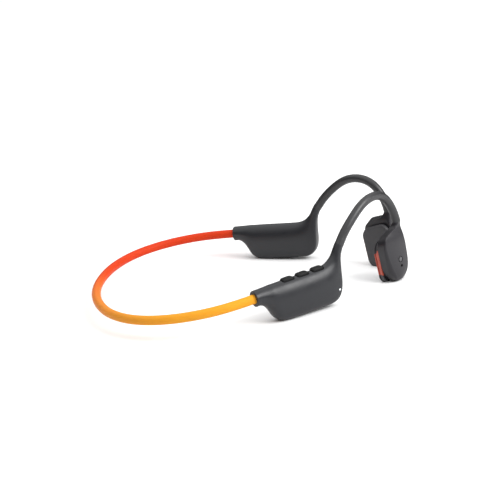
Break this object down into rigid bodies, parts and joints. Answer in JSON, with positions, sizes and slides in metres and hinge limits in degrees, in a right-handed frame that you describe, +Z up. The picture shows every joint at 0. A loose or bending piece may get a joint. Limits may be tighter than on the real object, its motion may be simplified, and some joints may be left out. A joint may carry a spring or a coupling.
{
  "type": "bone conduction headphones",
  "caption": "Open-ear bone conduction headphones: wire-cored rear neckband, two side pods, over-ear hooks, vibrating cheek pads and top buttons on the right pod.",
  "frame": {"origin": "middle of the bounding box at the level of the surface it stands on (heels of both pods and bottoms of both earpieces)", "axes": "+X to the wearer's right, +Y forward from the neckband to the earpieces, +Z up"},
  "size_m": [0.1436, 0.1706, 0.0511],
  "materials": {
    "band_silicone": "satin moulded silicone, orange-red to yellow gradient",
    "pod_plastic": "soft-touch charcoal coating",
    "hook_silicone": "satin charcoal silicone",
    "ear_plastic": "satin charcoal plastic",
    "accent_red": "satin red-orange plastic",
    "pad_silicone": "matte dark silicone",
    "button_rubber": "matte black silicone",
    "bush_rubber": "matte grey-brown elastomer",
    "titanium": "drawn wire",
    "copper": "enamelled copper winding",
    "steel": "plated steel",
    "gold_contact": "gold plated",
    "magnet_nickel": "nickel plated",
    "board_green": "solder mask",
    "cable_jacket": "thin cable jacket",
    "black_plastic": "moulded plastic",
    "mesh_metal": "black woven mesh",
    "led_clear": "frosted light pipe",
    "battery_foil": "laminated foil pouch",
    "screw_steel": "zinc plated"
  },
  "bodies": {
    "headset": {"antenna": "black_plastic", "battery_board": "board_green", "battery_cell": "battery_foil", "bluetooth_module": "steel", "board_screws": "screw_steel", "button_board": "board_green", "button_seal": "button_rubber", "charging_contacts": "gold_contact", "charging_magnets": "magnet_nickel", "charging_port_insert": "black_plastic", "led_light_pipe": "led_clear", "left_accent_ring": "accent_red", "left_driver_frame": "black_plastic", "left_driver_magnet": "magnet_nickel", "left_driver_spring": "steel", "left_driver_yoke": "steel", "left_ear_hook": "hook_silicone", "left_earpiece_shell": "ear_plastic", "left_hook_wire": "titanium", "left_mic_mesh": "mesh_metal", "left_mic_ring": "black_plastic", "left_microphone": "steel", "left_pod_collar_bush": "bush_rubber", "left_pod_inner_shell": "pod_plastic", "left_pod_outer_shell": "pod_plastic", "left_wire_anchor": "steel", "main_circuit_board": "board_green", "neckband_cable": "cable_jacket", "neckband_core_wire": "titanium", "neckband_sleeve": "band_silicone", "right_accent_ring": "accent_red", "right_driver_frame": "black_plastic", "right_driver_magnet": "magnet_nickel", "right_driver_spring": "steel", "right_driver_yoke": "steel", "right_ear_hook": "hook_silicone", "right_earpiece_shell": "ear_plastic", "right_hook_wire": "titanium", "right_mic_mesh": "mesh_metal", "right_mic_ring": "black_plastic", "right_microphone": "steel", "right_pod_collar_bush": "bush_rubber", "right_pod_inner_shell": "pod_plastic", "right_pod_outer_shell": "pod_plastic", "right_wire_anchor": "steel", "tact_switches": "steel"},
    "volume_up_button": {"volume_up_button": "button_rubber"},
    "volume_down_button": {"volume_down_button": "button_rubber"},
    "power_button": {"power_button": "button_rubber"},
    "right_pad": {"right_contact_pad": "pad_silicone", "right_voice_coil": "copper"},
    "left_pad": {"left_contact_pad": "pad_silicone", "left_voice_coil": "copper"}
  },
  "joints": [
    {"name": "volume_up_button_press", "type": "slide", "parent": "headset", "child": "volume_up_button", "axis": [0, 0.0828, -0.9966], "range_m": [0, 0.0004], "stiffness_N_per_m": 800, "springref_m": -0.0005},
    {"name": "volume_down_button_press", "type": "slide", "parent": "headset", "child": "volume_down_button", "axis": [0, 0.0828, -0.9966], "range_m": [0, 0.0004], "stiffness_N_per_m": 800, "springref_m": -0.0005},
    {"name": "power_button_press", "type": "slide", "parent": "headset", "child": "power_button", "axis": [0, 0.0828, -0.9966], "range_m": [0, 0.0004], "stiffness_N_per_m": 800, "springref_m": -0.0005},
    {"name": "right_pad_vibration", "type": "slide", "parent": "headset", "child": "right_pad", "axis": [-0.7193, -0.6923, -0.0575], "range_m": [-0.00015, 0.00015], "stiffness_N_per_m": 3000},
    {"name": "left_pad_vibration", "type": "slide", "parent": "headset", "child": "left_pad", "axis": [0.7193, -0.6923, -0.0575], "range_m": [-0.00015, 0.00015], "stiffness_N_per_m": 3000}
  ]
}
